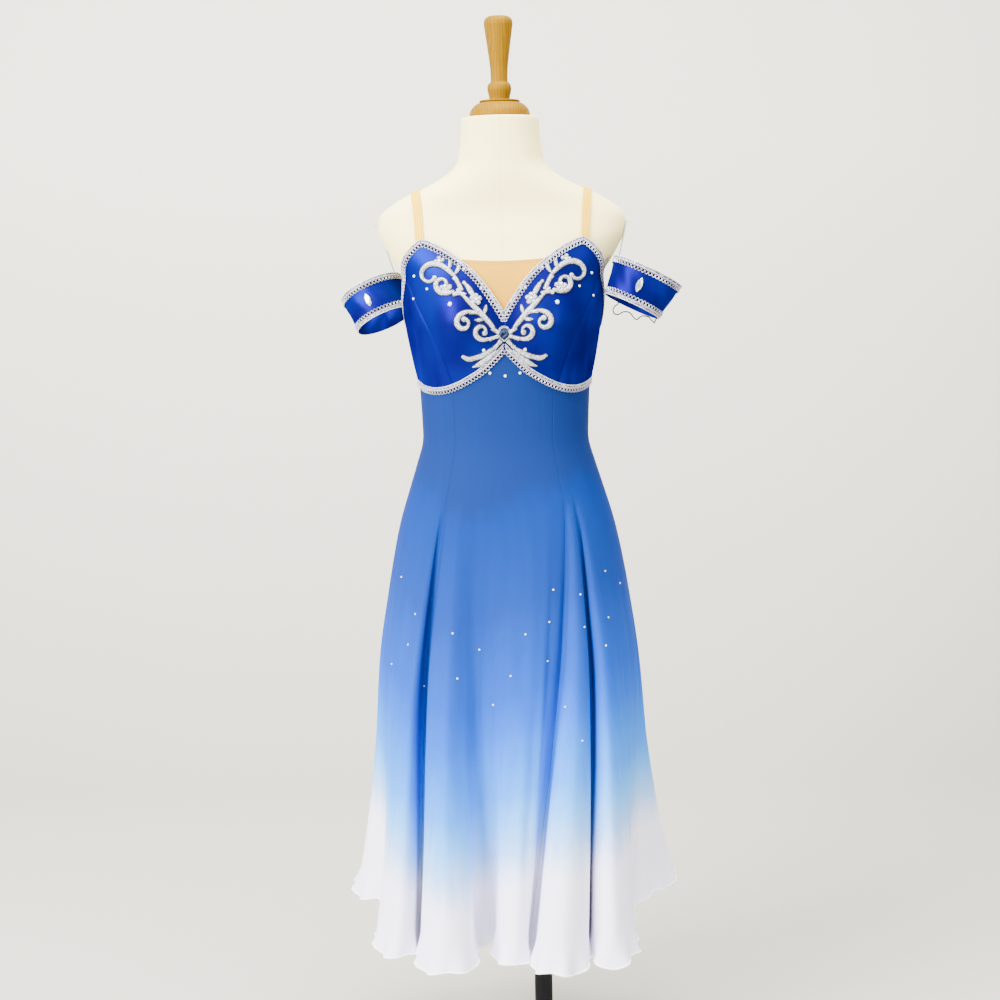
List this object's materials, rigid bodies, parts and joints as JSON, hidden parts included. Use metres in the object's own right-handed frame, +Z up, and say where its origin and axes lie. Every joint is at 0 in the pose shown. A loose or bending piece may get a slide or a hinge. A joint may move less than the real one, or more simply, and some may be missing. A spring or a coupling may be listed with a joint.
{
  "type": "dance dress on a dress form",
  "caption": "Off-the-shoulder dance dress with beaded sweetheart bodice, flared ombre skirt and armbands, worn by a limbless dress form on a round stand.",
  "frame": {"origin": "on the floor, on the underside of the stand's round base, straight below the middle of the dress form", "axes": "+Z up, the front of the dress faces -Y, +X is to the right as seen from the front"},
  "size_m": [0.5166, 0.5043, 1.6095],
  "materials": {
    "royal_satin": "satin",
    "blue_crepe": "matt crepe, dyed from blue at the waist to white at the hem",
    "nude_mesh": "fine matt net",
    "nude_elastic": "matt woven elastic",
    "silver_braid": "silver thread, sequins and beads",
    "beaded_scroll": "white and silver beads on cord",
    "crystal": "faceted, foil backed",
    "clear_elastic": "clear, smooth",
    "brown_elastic": "matt",
    "form_cloth": "matt jersey cover",
    "turned_wood": "varnished",
    "black_metal": "semi-gloss black",
    "pin_steel": "polished"
  },
  "bodies": {
    "root": {"armband_bottom_braid_l": "silver_braid", "armband_bottom_braid_r": "silver_braid", "armband_l": "royal_satin", "armband_loop_l": "clear_elastic", "armband_loop_r": "clear_elastic", "armband_r": "royal_satin", "armband_stone_l": "crystal", "armband_stone_r": "crystal", "armband_top_braid_l": "silver_braid", "armband_top_braid_r": "silver_braid", "bodice_centre_back_l": "royal_satin", "bodice_centre_back_r": "royal_satin", "bodice_side_back_l": "royal_satin", "bodice_side_back_r": "royal_satin", "centre_stone": "crystal", "cup_centre_l": "royal_satin", "cup_centre_r": "royal_satin", "cup_side_l": "royal_satin", "cup_side_r": "royal_satin", "form_finial": "turned_wood", "form_neck_cap": "turned_wood", "form_torso": "form_cloth", "loose_elastic": "brown_elastic", "neckline_insert": "nude_mesh", "scroll_crown_l": "beaded_scroll", "scroll_crown_r": "beaded_scroll", "scroll_inner_leaf_l": "beaded_scroll", "scroll_inner_leaf_r": "beaded_scroll", "scroll_lower_curl_l": "beaded_scroll", "scroll_lower_curl_r": "beaded_scroll", "scroll_middle_curl_l": "beaded_scroll", "scroll_middle_curl_r": "beaded_scroll", "scroll_outer_curl_l": "beaded_scroll", "scroll_outer_curl_r": "beaded_scroll", "scroll_stem_l": "beaded_scroll", "scroll_stem_r": "beaded_scroll", "scroll_wing_l": "beaded_scroll", "scroll_wing_r": "beaded_scroll", "shoulder_pin_l": "pin_steel", "shoulder_pin_r": "pin_steel", "skirt_centre_back_l": "blue_crepe", "skirt_centre_back_r": "blue_crepe", "skirt_centre_front": "blue_crepe", "skirt_side_back_l": "blue_crepe", "skirt_side_back_r": "blue_crepe", "skirt_side_front_l": "blue_crepe", "skirt_side_front_r": "blue_crepe", "stand_base": "black_metal", "stand_collar": "black_metal", "stand_post": "black_metal", "strap_l": "nude_elastic", "strap_r": "nude_elastic", "top_braid_l": "silver_braid", "top_braid_r": "silver_braid", "underbust_braid_l": "silver_braid", "underbust_braid_r": "silver_braid"}
  },
  "joints": []
}
